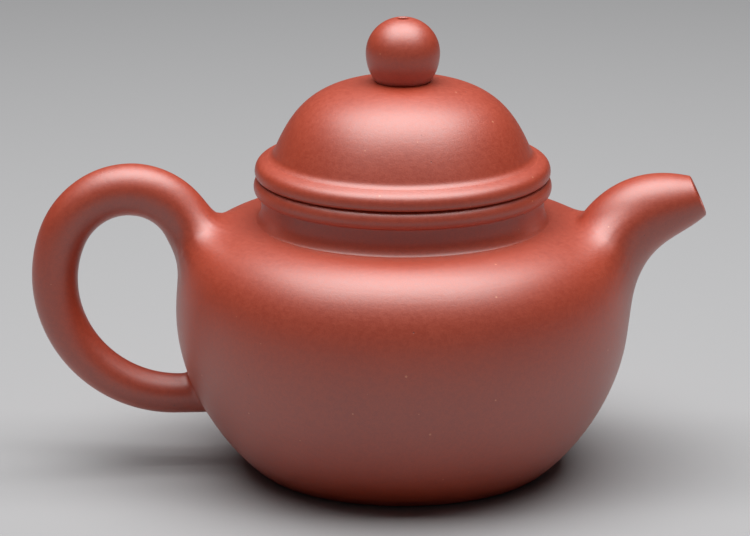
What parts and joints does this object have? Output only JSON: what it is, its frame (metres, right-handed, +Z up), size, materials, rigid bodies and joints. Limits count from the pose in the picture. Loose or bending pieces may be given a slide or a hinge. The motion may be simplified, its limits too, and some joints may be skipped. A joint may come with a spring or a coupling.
{
  "type": "clay teapot",
  "caption": "Round unglazed clay teapot with a short bent spout, an ear-shaped handle and a lift-off domed lid with a ball knob; brews and pours tea.",
  "frame": {"origin": "centre of the foot ring, on the surface that the pot stands on", "axes": "+Z up along the pot axis, +X from the pot axis towards the spout, -X towards the handle"},
  "size_m": [0.1496, 0.1006, 0.1019],
  "materials": {
    "burnished_clay": "satin, fired and burnished red-brown clay, unglazed",
    "plain_clay": "matt, fired red-brown clay, unglazed"
  },
  "bodies": {
    "pot": {"base_disc": "plain_clay", "body_wall": "burnished_clay", "shoulder_disc": "burnished_clay", "neck_ring": "burnished_clay", "mouth_rim": "burnished_clay", "spout": "burnished_clay", "spout_strainer": "plain_clay", "handle": "burnished_clay"},
    "lid": {"lid_rim": "burnished_clay", "lid_dome": "burnished_clay", "lid_tongue": "plain_clay", "lid_knob": "burnished_clay"}
  },
  "joints": [
    {"name": "lid_lift", "type": "slide", "parent": "pot", "child": "lid", "axis": [0, 0, 1], "range_m": [0, 0.06]}
  ]
}
